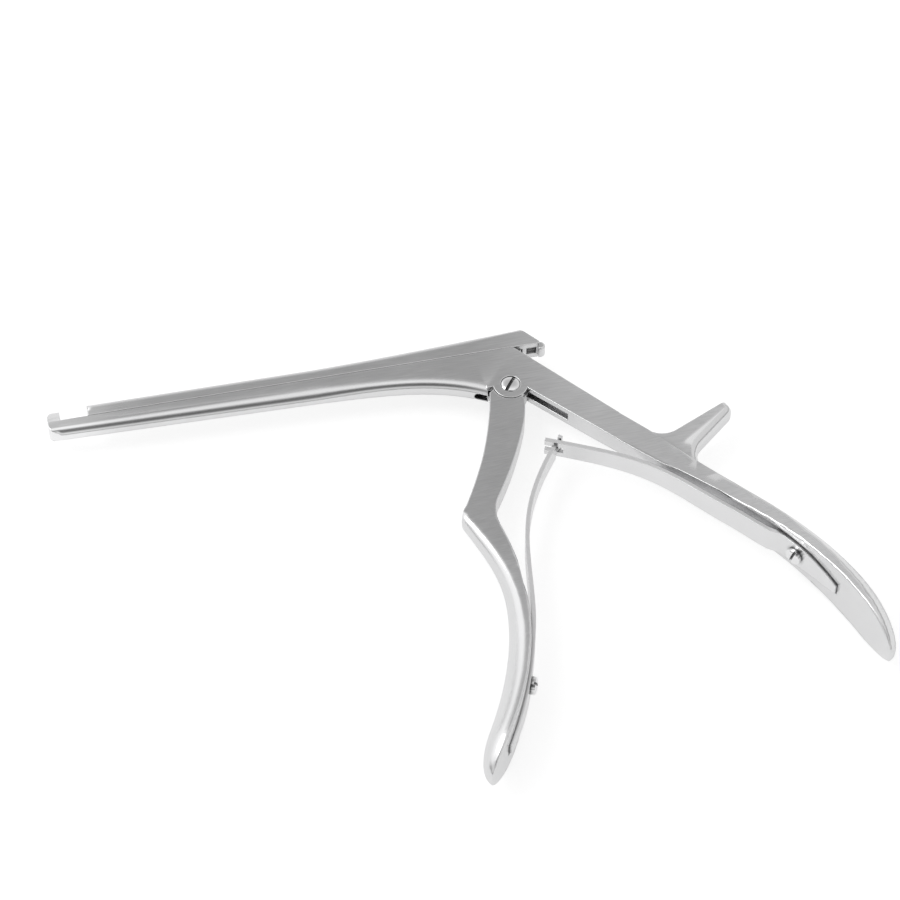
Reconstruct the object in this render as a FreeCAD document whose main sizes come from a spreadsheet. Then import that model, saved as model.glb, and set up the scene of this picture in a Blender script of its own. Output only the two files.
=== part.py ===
import FreeCAD, Part
import math
import os
import re
import Sketcher
from FreeCAD import Placement, Rotation, Vector

# Upbiting bone punch. X runs along the shaft and points to the rear, Y points from the pivot to the
# sliding shaft, Z is the thickness. The origin is the pivot's axis on the body's lower flat side.
# Lengths are in millimetres and angles in degrees.

SIZES = {
    # body and fixed shaft
    "bodyThickness": 5.8,
    "seamHeight": 12.0,
    "fairingFront": 6.3,
    "shaftReach": 117.5,
    "tipWidth": 4.8,
    "tipDepth": 4.45,
    "sideCurveTip": 0.083,
    "sideCurveMiddle": 0.056,
    "sideCurveEnd": 0.0006,
    "depthGain": 0.024,
    "fairingDrop": 6.8,
    "taperEnd": 50.0,
    "bodyTail": 3.2,
    "lobeRadius": 4.6,
    # footplate
    "footThickness": 3.4,
    "footRise": 3.9,
    "footNoseRadius": 3.3,
    "footNoseTop": 2.75,
    "footNoseDrop": 2.8,
    "footCrown": 0.8,
    "footTopDrop": 0.65,
    "cupRadius": 1.95,
    "cupDepth": 0.7,
    "cupHeight": 2.15,
    # handle slot
    "slotWidth": 2.5,
    "slotFront": 9.7,
    "slotRear": 7.2,
    "slotRunOut": 12.9,
    "slotDepth": 2.2,
    "slotBelow": 16.0,
    # sliding shaft
    "jawGap": 7.3,
    "sliderRise": 3.85,
    "sliderSag": 0.35,
    "sliderGain": 2.0,
    "sliderTail": 11.95,
    "sliderRoof": 4.3,
    "roofRise": 5.8,
    "roofRun": 3.0,
    "roofDrop": 1.3,
    "roofRadius": 4.1,
    "slopeEnd": 10.4,
    "slopeEndRise": 0.7,
    "slopeRadius": 0.9,
    "tailEndRadius": 1.35,
    "tailEndRound": 0.6,
    "tailSlotStart": 6.9,
    "tailSlotEnd": 9.6,
    "tailSlotDepth": 1.1,
    "sliderEdgeRadius": 1.2,
    "slideClearance": 0.03,
    # guide rails
    "neckHeight": 1.4,
    "neckWidth": 2.4,
    "flangeHeight": 0.9,
    "flangeWidth": 3.9,
    "frontRailReach": 9.0,
    "frontRailEnd": 0.5,
    "tailBlockStart": 10.0,
    "railLap": 0.3,
    "grooveLap": 0.5,
    "grooveEndGap": 0.4,
    "tipRailStart": 93.0,
    "tipRailLength": 8.0,
    "tipNeckWidth": 1.9,
    "tipNeckHeight": 0.8,
    "tipFlangeWidth": 3.0,
    "tipFlangeHeight": 0.9,
    "tipWindow": 8.6,
    # lever
    "fingerReach": 13.3,
    "fingerRadius": 2.0,
    "fingerNeck": 3.2,
    "fingerRest": 16.0,
    "tongueRadius": 4.9,
    "tongueThickness": 2.4,
    "webLeft": 4.6,
    "webRight": 1.6,
    "webLow": 7.6,
    "webHigh": 2.4,
    "shoulderGap": 0.25,
    "shoulderStart": 191.0,
    "shoulderEnd": 298.0,
    "notchClearance": 0.15,
    # pivot screw
    "pivotHeadRadius": 2.5,
    "pivotHeadHeight": 1.15,
    "pivotHeadSeat": 0.75,
    "pivotShankRadius": 1.7,
    "pivotClearance": 0.03,
    "pivotHeadDome": 0.45,
    "pivotBoreFloor": 0.4,
    "pivotShankGap": 0.05,
    "counterboreClearance": 0.1,
    "pivotScrewTurn": 52.0,
    "slotCutWidth": 0.5,
    "slotCutDepth": 0.5,
    # rear handle
    "rearStartX": 4.2,
    "rearStartY": -2.2,
    "rearDirection": -47.4,
    "rearStraight": 67.1,
    "rearBend": 105.0,
    "rearLength": 123.8,
    "rearFlare": 24.0,
    "rearRootDepth": 7.35,
    "rearWaistDepth": 6.0,
    "rearPalmDepth": 6.5,
    "rearFlatFade": 1.15,
    "rearFlatKeep": 0.12,
    "rearTipShare": 0.26,
    # front handle
    "frontStartX": -13.0,
    "frontStartY": -39.5,
    "frontDirection": -74.5,
    "frontBend": 86.0,
    "frontNoseStation": -4.8,
    "frontNoseDepth": 5.1,
    "frontLength": 82.5,
    "frontRootDepth": 8.4,
    "frontWaistDepth": 5.3,
    "frontPalmDepth": 6.1,
    "frontFlatFade": 3.4,
    "frontFlatKeep": -0.1,
    "frontTipShare": 0.16,
    "frontNotchStation": 4.0,
    "frontNotchRadius": 10.7,
    # plate
    "plateInset": 3.8,
    "shoulderEndX": 2.6,
    "shoulderEndY": -5.9,
    "shoulderBend": 40.0,
    "plateWaistX": 0.9,
    "plateWaistY": -12.8,
    "plateWaistBend": 120.0,
    "plateRootX": -10.8,
    "plateRootY": -35.6,
    "plateNoseX": -19.6,
    "plateNoseY": -37.0,
    "plateNoseBend": 150.0,
    "plateMiddleX": -12.4,
    "plateMiddleY": -22.9,
    "plateMiddleBend": 110.0,
    "plateHighX": -7.85,
    "plateHighY": -9.7,
    "plateHighBend": 60.0,
    "shoulderLowX": -6.15,
    "shoulderLowY": -2.6,
    "shoulderStartX": -6.0,
    "shoulderStartY": -1.9,
    # both grips
    "gripWidth": 15.6,
    "gripEdgeFlat": 0.8,
    "gripBevel": 0.35,
    "gripEdgeBulge": 0.1,
    "noseShare": 0.05,
    "waistShare": 0.36,
    "palmShare": 0.4,
    "widthShare": 0.85,
    "flatShare": 0.1,
    "tipStart": 0.84,
    # spur
    "spurStation": 48.9,
    "spurAngle": 24.5,
    "spurTaper": 15.3,
    "spurLength": 21.5,
    "spurTipWidth": 3.1,
    "spurTipRadius": 2.3,
    "spurFrontFillet": 6.3,
    "spurRearFillet": 6.0,
    "spurSeat": 6.05,
    "spurRound": 2.1,
    # leaf springs
    "springThickness": 1.1,
    "springTipWidth": 5.5,
    "springScrewWidth": 7.9,
    "springFootWidth": 3.0,
    "channelDepth": 0.45,
    "channelClearance": 0.7,
    "springSeat": 0.05,
    "screwSeatGap": 0.04,
    "rearScrewStation": 85.0,
    "rearFootStation": 99.0,
    "rearChannelStart": 38.0,
    "frontScrewStation": 52.6,
    "frontFootStation": 72.0,
    "frontChannelStart": 14.0,
    "rearBowStation1": 75.0,
    "rearBowDepth1": -1.5,
    "rearBowStation2": 62.0,
    "rearBowDepth2": -2.0,
    "rearBowStation3": 40.0,
    "rearBowDepth3": -2.2,
    "frontBowStation1": 36.0,
    "frontBowDepth1": -0.75,
    "frontBowStation2": 20.7,
    "frontBowDepth2": -2.15,
    "frontBowStation3": 3.9,
    "frontBowDepth3": -8.3,
    "meetX": 7.9,
    "meetY": -20.9,
    "rearTipAngle": 155.0,
    "frontTipAngle": 51.0,
    "forkReach": 3.2,
    "forkDepth": 5.0,
    "forkSlot": 2.1,
    "hookReach": 2.3,
    "hookNeckWidth": 1.6,
    "hookNeckLength": 3.0,
    "hookLength": 0.9,
    # spring screws
    "springHeadRadius": 2.3,
    "springHeadHeight": 1.6,
    "springHeadDome": 0.35,
    "rearScrewTurn": 20.0,
    "frontScrewTurn": 0.0,
    "springShankRadius": 1.2,
    "springShankLength": 5.0,
    "springHoleClearance": 0.15,
    "springHoleReach": 3.0,
    "screwHoleSpare": 2.0,
    # how far a cutting shape reaches past what it cuts
    "cutLap": 1.0,
}

doc = FreeCAD.newDocument("BonePunch")
sheet = doc.addObject("Spreadsheet::Sheet", "Sizes")
for row, (alias, number) in enumerate(SIZES.items(), start=1):
    sheet.set(f"A{row}", alias)
    sheet.set(f"B{row}", str(number))
    sheet.setAlias(f"B{row}", alias)
doc.recompute()


def bound(text):
    """The expression text with each size's name pointing at its cell."""
    return re.sub(r"[A-Za-z]\w*", lambda m: f"Sizes.{m[0]}" if m[0] in SIZES else m[0], str(text))


def value(text):
    """The number that an expression of sizes has now."""
    return float(sheet.evalExpression(bound(text)))


def circle_centre(start, end, radius, left):
    """Centre of the minor arc from start to end, on the left or right of the way."""
    half = (end - start) * 0.5
    side = Vector(-half.y, half.x, 0).normalize()
    rise = math.sqrt(max(radius * radius - half.Length * half.Length, 0.0))
    return start + half + side * (rise if left else -rise)


def sketch(name, place, corners):
    """A closed sketch. Each corner is (x, y) or (x, y, radius, side), where the radius and the side,
    left or right, give the arc that leads from that corner to the next."""
    made = doc.addObject("Sketcher::SketchObject", name)
    made.Placement = place
    count = len(corners)
    points = [Vector(value(c[0]), value(c[1]), 0) for c in corners]
    starts = []
    ends = []
    for i, corner in enumerate(corners):
        here = points[i]
        there = points[(i + 1) % count]
        if len(corner) == 2:
            made.addGeometry(Part.LineSegment(here, there), False)
            starts.append(1)
            ends.append(2)
            continue
        radius = value(corner[2])
        left = corner[3] == "left"
        centre = circle_centre(here, there, radius, left)
        first, last = (here, there) if left else (there, here)
        angles = [math.atan2(p.y - centre.y, p.x - centre.x) for p in (first, last)]
        circle = Part.Circle(centre, Vector(0, 0, 1), (here - centre).Length)
        made.addGeometry(Part.ArcOfCircle(circle, angles[0], angles[1]), False)
        starts.append(1 if left else 2)
        ends.append(2 if left else 1)
    for i, corner in enumerate(corners):
        after = (i + 1) % count
        made.addConstraint(Sketcher.Constraint("Coincident", i, ends[i], after, starts[after]))
        bind(made, Sketcher.Constraint("DistanceX", i, starts[i], points[i].x), corner[0])
        bind(made, Sketcher.Constraint("DistanceY", i, starts[i], points[i].y), corner[1])
        if len(corner) == 4:
            chord = (points[after] - points[i]).Length
            radius = value(corner[2])
            if abs(2 * radius - chord) < 1e-6:
                middle = f"(({corner[0]}) + ({corners[after][0]})) / 2"
                bind(made, Sketcher.Constraint("DistanceX", i, 3, value(middle)), middle)
            else:
                bind(made, Sketcher.Constraint("Radius", i, radius), corner[2])
    return made


def bind(made, constraint, text):
    index = made.addConstraint(constraint)
    if bound(text) != str(text):
        made.setExpression(f"Constraints[{index}]", bound(text))


def flat_plane(height="0"):
    return Placement(Vector(0, 0, value(height)), Rotation())


def cross_plane(x):
    """Plane across the shaft: its own x is Y and its own y is Z."""
    return Placement(Vector(value(x), 0, 0), Rotation(Vector(0, 1, 0), Vector(0, 0, 1), Vector(1, 0, 0)))


def slab(name, corners, low, high):
    """A flat outline, made solid between two heights in Z."""
    outline = sketch(name + "Outline", flat_plane(low), corners)
    made = doc.addObject("Part::Extrusion", name)
    made.Base = outline
    made.DirMode = "Normal"
    made.Solid = True
    made.setExpression("LengthFwd", bound(f"({high}) - ({low})"))
    return made


def loft(name, sections):
    made = doc.addObject("Part::Loft", name)
    made.Sections = sections
    made.Solid = True
    return made


def fuse(name, shapes):
    made = doc.addObject("Part::MultiFuse", name)
    made.Shapes = shapes
    made.Refine = True
    return made


def cut(name, base, tools):
    made = doc.addObject("Part::Cut", name)
    made.Base = base
    made.Tool = tools[0] if len(tools) == 1 else fuse(name + "Tools", tools)
    made.Refine = True
    return made


def common(name, first, second):
    made = doc.addObject("Part::MultiCommon", name)
    made.Shapes = [first, second]
    return made


def cylinder(name, radius, height, place):
    made = doc.addObject("Part::Cylinder", name)
    made.setExpression("Radius", bound(radius))
    made.setExpression("Height", bound(height))
    made.Placement = place
    return made


def block(name, low, high):
    """A box between two corners, given as expressions."""
    made = doc.addObject("Part::Box", name)
    for side, low_end, high_end in zip(("Length", "Width", "Height"), low, high):
        made.setExpression(side, bound(f"({high_end}) - ({low_end})"))
    made.Placement = Placement(Vector(*[value(c) for c in low]), Rotation())
    return made


def flat_edges(base, pairs):
    """Numbers of a slab's flat edges that run between pairs of points."""
    doc.recompute()
    found = []
    for index, edge in enumerate(base.Shape.Edges, start=1):
        ends = [v.Point for v in edge.Vertexes]
        if len(ends) == 2 and abs(ends[0].z - ends[1].z) < 1e-6:
            flat = [Vector(p.x, p.y, 0) for p in ends]
            for first, last in pairs:
                same = flat[0].distanceToPoint(first) + flat[1].distanceToPoint(last)
                swapped = flat[1].distanceToPoint(first) + flat[0].distanceToPoint(last)
                if min(same, swapped) < 1e-3:
                    found.append(index)
    return found


def fillet(name, base, radius, pairs):
    made = doc.addObject("Part::Fillet", name)
    made.Base = base
    made.Edges = [(index, value(radius), value(radius)) for index in flat_edges(base, pairs)]
    return made


def rounded_corner(corner, back_way, on_way, radius):
    """Where an arc of a radius touches the two lines that leave a corner."""
    half_turn = back_way.getAngle(on_way) / 2
    reach = radius / math.tan(half_turn)
    return corner + back_way * reach, corner + on_way * reach


def smooth(t):
    t = min(max(t, 0.0), 1.0)
    return t * t * (3 - 2 * t)


class HandleCurve:
    """Inner edge of a handle, seen from the side: straight first, then bent to the right."""

    def __init__(self, x, y, direction, straight, bend, back_is_left):
        self.start = Vector(value(x), value(y), 0)
        self.angle = math.radians(value(direction))
        self.straight = value(straight)
        self.bend = value(bend)
        self.back_side = 1 if back_is_left else -1

    def heading(self, s):
        return self.angle - max(s - self.straight, 0) / self.bend

    def point(self, s, depth=0.0):
        """The point at length s, moved by depth towards the handle's back."""
        along = Vector(math.cos(self.angle), math.sin(self.angle), 0)
        spot = self.start + along * min(s, self.straight)
        if s > self.straight:
            right = Vector(along.y, -along.x, 0)
            turn = (s - self.straight) / self.bend
            spot += right * (self.bend * (1 - math.cos(turn))) + along * (self.bend * math.sin(turn))
        return spot + self.back(s) * depth

    def back(self, s):
        heading = self.heading(s)
        return Vector(-math.sin(heading), math.cos(heading), 0) * self.back_side

    def plane(self, s, depth=0.0):
        """Plane across the handle: its own x points to the back, its own y is Z."""
        back = self.back(s)
        spot = self.point(s, depth) + Vector(0, 0, value("bodyThickness / 2"))
        return Placement(spot, Rotation(back, Vector(0, 0, 1), back.cross(Vector(0, 0, 1))))


rear_curve = HandleCurve("rearStartX", "rearStartY", "rearDirection", "rearStraight", "rearBend", True)
front_curve = HandleCurve("frontStartX", "frontStartY", "frontDirection", "0", "frontBend", False)


def grip(name, curve, start, opening, sizes):
    """A grip that widens from the flat handle to the palm: a flat inner face with bevelled edges,
    flat sides that fade out, and a round back. It closes to a rounded tip."""
    start, opening = value(start), value(opening)
    length, root, waist, palm, fade, keep, tip_share = [value(t) for t in sizes]
    thickness = value("bodyThickness")
    edge = value("gripEdgeFlat")
    bulge = value("gripEdgeBulge")
    sections = []
    shares = (0, 0.015, 0.035, 0.06, 0.1, 0.17, 0.28, 0.4, 0.54, 0.68, 0.8, 0.88, 0.94, 0.975, 0.994)
    for index, t in enumerate(shares):
        closing = math.sqrt(1 - max((t - value("tipStart")) / (1 - value("tipStart")), 0) ** 2)
        depth_closing = math.sqrt(1 - max((t - 1 + tip_share) / tip_share, 0) ** 2)
        width = thickness + (value("gripWidth") - thickness) * smooth(t / value("widthShare"))
        half = width / 2 * closing
        depth = root + (waist - root) * smooth(t / value("waistShare"))
        depth += (palm - waist) * smooth((t - value("waistShare")) / value("palmShare"))
        side = edge + (root - bulge - edge) * (1 - t) ** fade
        flat = 1 - smooth((t - keep) / value("flatShare"))
        nose = max(1 - t / value("noseShare"), 0) ** 2
        depth -= (root - opening) * nose
        side = min(side, depth - bulge) * (1 - flat) + (depth - bulge) * flat
        side *= depth_closing
        depth *= depth_closing
        rise = depth - side
        radius = (half * half + rise * rise) / (2 * rise)
        bevel = min(value("gripBevel") * (0.1 + smooth(t / 0.1)), half / 3)
        bevel_depth = min(bevel, side * 0.8)
        s = start + (length - start) * t
        corners = [
            (0, half - bevel),
            (0, -half + bevel),
            (bevel_depth, -half),
            (side, -half, radius, "left"),
            (side, half),
            (bevel_depth, half),
        ]
        sections.append(sketch(f"{name}Section{index}", curve.plane(s), corners))
    return loft(name, sections)


def shaft_bottom(x):
    """Height of the fixed shaft's lower side at a distance x in front of the pivot."""
    fairing = f"fairingDrop * (max(taperEnd - {x}; 0) / (taperEnd - fairingFront))^3.5"
    return f"(seamHeight - tipDepth - depthGain * (shaftReach - {x}) - {fairing})"


def shaft_half_width(x):
    """The shaft's half width at a distance x in front of the pivot."""
    taper = f"min((shaftReach - {x}) / (shaftReach - taperEnd); 1)"
    return f"((tipWidth + (bodyThickness - tipWidth) * {taper}) / 2)"


def side_curve(x):
    """Curvature of the shaft's sides at a distance x in front of the pivot, least near the body."""
    front = f"min((shaftReach - {x}) / (shaftReach - taperEnd); 1)"
    ahead = f"(1 - max(taperEnd - {x}; 0) / (taperEnd - fairingFront))"
    to_middle = f"sideCurveTip + (sideCurveMiddle - sideCurveTip) * {front}"
    return f"({to_middle} + (sideCurveEnd - sideCurveMiddle) * (1 - {ahead}^2))"


def seam_inset(x):
    """How much further in the shaft's side is at the seam than at its widest."""
    curve = side_curve(x)
    rise = f"(seamHeight - {shaft_bottom(x)} - {shaft_half_width(x)})"
    return f"((1 - sqrt(1 - ({curve} * {rise})^2)) / {curve})"


def half_round(name, x):
    """Section of the fixed shaft: flat top on the seam, crowned sides and a half-round bottom."""
    middle = "bodyThickness / 2"
    half = shaft_half_width(x)
    inset = seam_inset(x)
    side_radius = f"(1 / {side_curve(x)})"
    low = f"({shaft_bottom(x)} + {half})"
    corners = [
        ("seamHeight", f"{middle} + {half} - {inset}", side_radius, "left"),
        (low, f"{middle} + {half}", f"{half}", "left"),
        (low, f"{middle} - {half}", side_radius, "left"),
        ("seamHeight", f"{middle} - {half} + {inset}"),
    ]
    return sketch(name, cross_plane(f"-({x})"), corners)


def fixed_shaft():
    """The lower shaft with the footplate, the flat body, the rear handle and the spur."""
    shaft = loft("Shaft", [half_round("ShaftTip", "shaftReach"), half_round("ShaftMiddle", "taperEnd")])
    stations = [f"(taperEnd + (fairingFront - taperEnd) * {i / 6})" for i in range(7)]
    fairing = loft("Fairing", [half_round(f"FairingSection{i}", x) for i, x in enumerate(stations)])

    root = value("rearFlare")
    inner = rear_curve.point(root)
    outer = rear_curve.point(root, value("rearRootDepth"))
    body = slab("Body", [
        ("-fairingFront", "seamHeight"),
        ("-fairingFront", 0),
        ("-lobeRadius", 0, "lobeRadius", "left"),
        ("rearStartX", "-sqrt(lobeRadius^2 - rearStartX^2)"),
        ("rearStartX", "rearStartY"),
        (inner.x, inner.y),
        (outer.x, outer.y),
        ("bodyTail", "seamHeight"),
    ], "0", "bodyThickness")
    handle = grip("RearGrip", rear_curve, "rearFlare", "rearRootDepth", [
        "rearLength", "rearRootDepth", "rearWaistDepth", "rearPalmDepth", "rearFlatFade", "rearFlatKeep",
        "rearTipShare"])

    spur = rear_spur(Vector(value("bodyTail"), value("seamHeight"), 0), outer)

    foot_side = slab("FootSide", foot_outline(), "-cutLap", "bodyThickness + cutLap")
    foot = common("Foot", foot_side, foot_front())
    solid = fuse("FixedBlank", [shaft, fairing, body, handle, spur, foot])
    return cut("fixed_shaft", solid, [
        slab("HandleSlot", slot_outline(), "(bodyThickness - slotWidth) / 2",
             "(bodyThickness + slotWidth) / 2"),
        slot_front(),
        *body_grooves(),
        *tip_grooves(),
        bite_cup("FootCup", "-shaftReach", 1),
        *pivot_holes(),
        channel("RearChannel", rear_curve, "rearChannelStart", "rearScrewStation", "rearFootStation"),
        screw_hole("RearScrewHole", rear_curve, "rearScrewStation"),
    ])


def rear_spur(line_start, line_end):
    """The spur that the hand rests under: a sharp front edge, a round rear side and blended roots."""
    down = (line_end - line_start).normalize()
    corner = line_start + down * value("spurStation")
    turn = math.radians(value("spurAngle"))
    along = Vector(math.cos(turn), math.sin(turn), 0)
    across = Vector(along.y, -along.x, 0)
    lean = math.radians(value("spurTaper"))
    rear_way = along * math.cos(lean) - across * math.sin(lean)
    tip_corner = corner + along * value("spurLength") + across * value("spurTipWidth")
    grip_way = Vector(math.cos(rear_curve.angle), math.sin(rear_curve.angle), 0)
    grip_back = rear_curve.point(0, value("spurSeat"))
    gap = grip_back - tip_corner
    slope = rear_way.x * grip_way.y - rear_way.y * grip_way.x
    rear_corner = tip_corner + rear_way * ((gap.x * grip_way.y - gap.y * grip_way.x) / slope)
    front = rounded_corner(corner, down * -1, along, value("spurFrontFillet"))
    tip = rounded_corner(tip_corner, across * -1, rear_way * -1, value("spurTipRadius"))
    rear = rounded_corner(rear_corner, rear_way, grip_way, value("spurRearFillet"))
    root = value("spurStation")
    points = {
        "front_low": front[0],
        "front_high": front[1],
        "tip_front": corner + along * value("spurLength"),
        "tip_turn": tip[0],
        "tip_rear": tip[1],
        "rear_high": rear[0],
        "rear_low": rear[1],
        "inside_low": rear[1] - rear_curve.back(0) * value("spurSeat / 2"),
        "inside_high": rear_curve.point(root - value("2 * spurFrontFillet"), value("spurSeat / 2")),
    }
    arcs = {
        "front_low": ("spurFrontFillet", "left"),
        "tip_turn": ("spurTipRadius", "right"),
        "rear_high": ("spurRearFillet", "left"),
    }
    corners = [(p.x, p.y, *arcs.get(key, ())) for key, p in points.items()]
    spur = slab("SpurBlank", corners, "0", "bodyThickness")
    rounded = ["tip_front", "tip_turn", "tip_rear", "rear_high", "rear_low"]
    chain = [(points[a], points[b]) for a, b in zip(rounded, rounded[1:])]
    return fillet("Spur", spur, "spurRound", chain)


def foot_outline():
    """The footplate from the side, with a round nose."""
    front = "-(shaftReach + footThickness)"
    low = "(seamHeight - tipDepth)"
    high = "(seamHeight + footRise)"
    return [
        ("-shaftReach", low),
        ("-shaftReach", high),
        ("-(shaftReach + footCrown)", high, "footNoseTop", "left"),
        (front, f"{high} - footNoseDrop"),
        (front, f"{low} + footNoseRadius", "footNoseRadius", "left"),
        (f"{front} + footNoseRadius", low),
    ]


def bite_cup(name, face, side):
    """A shallow round hollow in one of the two jaws, on the side that the sign gives."""
    made = doc.addObject("Part::Sphere", name)
    made.setExpression("Radius", "Sizes.cupRadius")
    centre = value(face) + side * value("cupRadius - cupDepth")
    made.Placement = Placement(Vector(centre, value("seamHeight + cupHeight"), value("bodyThickness / 2")),
                               Rotation())
    return made


def foot_front():
    """The footplate from the front: a half-round bottom, crowned sides and a round top."""
    half = "(tipWidth / 2)"
    middle = "(bodyThickness / 2)"
    low = f"(seamHeight - tipDepth + {half})"
    high = "(seamHeight + footRise)"
    side_radius = "(1 / sideCurveTip)"
    lean = f"(sideCurveTip * ({high} - footTopDrop - {low}))"
    edge = f"({half} - {side_radius} * (1 - sqrt(1 - {lean}^2)))"
    top_radius = f"(footTopDrop / (1 - {lean}))"
    top_edge = f"({edge} - {top_radius} * sqrt(1 - {lean}^2))"
    corners = [
        (f"{high} - footTopDrop", f"{middle} + {edge}", side_radius, "left"),
        (low, f"{middle} + {half}", half, "left"),
        (low, f"{middle} - {half}", side_radius, "left"),
        (f"{high} - footTopDrop", f"{middle} - {edge}", top_radius, "left"),
        (high, f"{middle} - {top_edge}"),
        (high, f"{middle} + {top_edge}", top_radius, "left"),
    ]
    outline = sketch("FootFrontOutline", cross_plane("-(shaftReach + footThickness + cutLap)"), corners)
    made = doc.addObject("Part::Extrusion", "FootFront")
    made.Base = outline
    made.DirMode = "Normal"
    made.Solid = True
    made.setExpression("LengthFwd", bound("footThickness + 2 * cutLap"))
    return made


def slot_outline():
    """The slot that the handle's tongue swings in, cut from below up to the seam."""
    run_out = value("(slotRunOut - rearStartX)") / math.cos(rear_curve.angle)
    end = rear_curve.point(run_out)
    floor_end = rear_curve.point(run_out, value("slotDepth"))
    front = "-(slotFront - slotWidth / 2)"
    return [
        (front, "-slotBelow"),
        (end.x, "-slotBelow"),
        (end.x, end.y),
        (floor_end.x, floor_end.y),
        ("slotRear", "rearStartY"),
        ("slotRear", "seamHeight - neckHeight"),
        (front, "seamHeight - neckHeight"),
    ]


def slot_front():
    """The slot's round front end."""
    low = Vector(value("slotWidth / 2 - slotFront"), value("-slotBelow"), value("bodyThickness / 2"))
    place = Placement(low, Rotation(Vector(0, 0, 1), Vector(0, 1, 0)))
    return cylinder("SlotFront", "slotWidth / 2", "slotBelow + seamHeight - neckHeight", place)


def groove(name, start, end, top, depth, width):
    """A straight groove along X, centred in the thickness, from a height downwards."""
    middle = "bodyThickness / 2"
    return block(name, (start, f"{top} - ({depth})", f"{middle} - ({width}) / 2"),
                 (end, top, f"{middle} + ({width}) / 2"))


def body_grooves():
    """The T-shaped guide in the body, open at the rear where the sliding shaft's tail block runs in."""
    front = "-(frontRailReach + jawGap + grooveLap)"
    rear = "sliderTail + cutLap"
    top = "seamHeight + grooveLap"
    return [
        groove("BodyNeck", front, rear, top, "neckHeight + grooveLap + slideClearance", "slotWidth"),
        groove("BodyFlange", front, rear, "seamHeight - neckHeight + slideClearance",
               "flangeHeight + 2 * slideClearance", "flangeWidth + 2 * slideClearance"),
        groove("BodyMouth", "tailBlockStart - jawGap - grooveEndGap", rear, top,
               "neckHeight + grooveLap + slideClearance", "flangeWidth + 2 * slideClearance"),
    ]


def tip_grooves():
    """The T-shaped guide near the jaw, with a window behind it that its rail is put in through."""
    front = "-(tipRailStart + tipRailLength + jawGap + grooveEndGap)"
    rear = "-(tipRailStart - grooveEndGap)"
    window = "-(tipRailStart - tipWindow)"
    top = "seamHeight + grooveLap"
    deep = "tipNeckHeight + tipFlangeHeight + slideClearance + grooveLap"
    neck = "tipNeckWidth + 2 * slideClearance"
    flange = "tipFlangeWidth + 2 * slideClearance"
    return [
        groove("TipNeck", front, rear, top, "tipNeckHeight + grooveLap + slideClearance", neck),
        groove("TipFlange", front, rear, "seamHeight - tipNeckHeight + slideClearance",
               "tipFlangeHeight + 2 * slideClearance", flange),
        groove("TipWindow", rear, window, top, deep, flange),
    ]


def pivot_holes():
    return [
        cylinder("PivotBore", "pivotShankRadius + pivotClearance", "bodyThickness - pivotBoreFloor",
                 flat_plane("pivotBoreFloor")),
        cylinder("PivotCounterbore", "pivotHeadRadius + counterboreClearance", "pivotHeadSeat + 1",
                 flat_plane("bodyThickness - pivotHeadSeat")),
    ]


def spring_width(s, screw, foot):
    """Width of a leaf spring's fixed end: wide at the screw, narrowing to the foot's end."""
    share = max(s - screw, 0) / (foot - screw)
    return value("springScrewWidth") + (value("springFootWidth") - value("springScrewWidth")) * share ** 1.6


def channel(name, curve, start, screw, foot):
    """The shallow channel in a handle's inner face that takes the leaf spring's foot."""
    start, screw, foot = [value(t) for t in (start, screw, foot)]
    sections = []
    for index, share in enumerate((0, 0.15, 0.3, 0.5, 0.7, 0.85, 1.0)):
        s = start + (screw - start) * share
        sections.append(channel_section(f"{name}Section{index}", curve, s, screw, foot, smooth(share / 0.3)))
    for index, share in enumerate((0.35, 0.7, 1.0), start=7):
        s = screw + (foot - screw + value("channelClearance")) * share
        sections.append(channel_section(f"{name}Section{index}", curve, s, screw, foot, 1.0))
    return loft(name, sections)


def channel_section(name, curve, s, screw, foot, share):
    half = spring_width(min(s, foot), screw, foot) / 2 + value("channelClearance")
    deep = value("channelDepth") * share - 0.02 * (1 - share)
    corners = [(-2, -half), (deep, -half), (deep, half), (-2, half)]
    return sketch(name, curve.plane(s), corners)


def across_face(curve, s, depth):
    """Place on a handle's inner face whose own Z points out of the handle."""
    spot = curve.point(s, depth) + Vector(0, 0, value("bodyThickness / 2"))
    return Placement(spot, Rotation(Vector(0, 0, 1), curve.back(s) * -1))


def screw_hole(name, curve, station):
    deep = value("channelDepth") + value("springShankLength") - value("springThickness")
    return cylinder(name, "springShankRadius", "springShankLength + screwHoleSpare",
                    across_face(curve, value(station), deep))


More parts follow.
